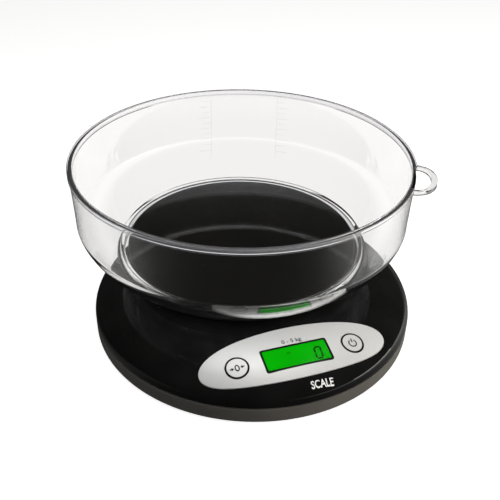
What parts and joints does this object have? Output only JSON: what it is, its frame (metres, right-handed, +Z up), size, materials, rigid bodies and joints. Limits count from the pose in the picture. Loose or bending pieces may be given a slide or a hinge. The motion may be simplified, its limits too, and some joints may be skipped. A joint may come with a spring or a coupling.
{
  "type": "kitchen scale",
  "caption": "Battery kitchen scale: round black base with a tilted silver control panel, a raised round weighing platform and a clear lift-off mixing bowl with a hanging loop.",
  "frame": {"origin": "under the middle of the bounding box, on the surface the scale stands on", "axes": "+Z up, -Y towards the display and the user, +X to the user's right"},
  "size_m": [0.23, 0.2504, 0.1134],
  "materials": {
    "clear_plastic": "clear polished styrene plastic",
    "window_clear": "clear flat window",
    "gloss_black": "high gloss moulded plastic",
    "satin_black": "satin moulded plastic",
    "silver_panel": "metallic silver paint, satin",
    "display_green": "liquid crystal cell over a green backlight",
    "white_plastic": "plain",
    "board_green": "solder resist",
    "dark_metal": "dark",
    "aluminium": "machined",
    "steel": "plated",
    "battery_label": "printed sleeve",
    "black_rubber": "matte",
    "red_rubber": "wire insulation",
    "foot_rubber": "matte"
  },
  "bodies": {
    "base": {"lcd_window": "window_clear", "upper_housing": "gloss_black", "lower_housing": "satin_black", "control_panel": "silver_panel", "lcd_glass": "display_green", "backlight_plate": "white_plastic", "lcd_frame": "white_plastic", "strain_gauge_top": "white_plastic", "strain_gauge_bottom": "white_plastic", "load_cell_cable": "white_plastic", "main_circuit_board": "board_green", "tare_switch": "dark_metal", "power_switch": "dark_metal", "load_cell": "aluminium", "zebra_strip": "black_rubber", "battery_lead_black": "black_rubber", "battery_lead_red": "red_rubber", "battery_1": "battery_label", "battery_2": "battery_label", "load_cell_plate": "steel", "battery_link": "steel", "battery_contact_1": "steel", "battery_contact_2": "steel", "battery_spring_1": "steel", "battery_spring_2": "steel", "board_screw_1": "steel", "board_screw_2": "steel", "load_cell_base_screw_1": "steel", "load_cell_base_screw_2": "steel", "housing_screw_1": "steel", "housing_screw_2": "steel", "housing_screw_3": "steel", "housing_screw_4": "steel", "foot_1": "foot_rubber", "foot_2": "foot_rubber", "foot_3": "foot_rubber", "foot_4": "foot_rubber"},
    "platform": {"weighing_platform": "gloss_black", "platform_carrier": "satin_black", "carrier_spacer": "steel", "carrier_screw_1": "steel", "carrier_screw_2": "steel", "carrier_screw_3": "steel", "carrier_screw_4": "steel", "load_cell_platform_screw_1": "steel", "load_cell_platform_screw_2": "steel"},
    "bowl": {"bowl": "clear_plastic"},
    "tare_key": {"tare_button": "silver_panel"},
    "power_key": {"power_button": "silver_panel"},
    "door": {"battery_door": "satin_black"}
  },
  "joints": [
    {"name": "platform_press", "type": "slide", "parent": "base", "child": "platform", "axis": [0, 0, 1], "range_m": [-0.00025, 0], "stiffness_N_per_m": 60000},
    {"name": "bowl_lift", "type": "slide", "parent": "platform", "child": "bowl", "axis": [0, 0, 1], "range_m": [0, 0.12]},
    {"name": "tare_press", "type": "slide", "parent": "base", "child": "tare_key", "axis": [0, 0.1908, -0.9816], "range_m": [0, 0.0005], "stiffness_N_per_m": 2000},
    {"name": "power_press", "type": "slide", "parent": "base", "child": "power_key", "axis": [0, 0.1908, -0.9816], "range_m": [0, 0.0005], "stiffness_N_per_m": 2000},
    {"name": "door_swing", "type": "hinge", "parent": "base", "child": "door", "pos_m": [0, 0.04175, 0.0022], "axis": [-1, 0, 0], "range_deg": [0, 95]}
  ]
}
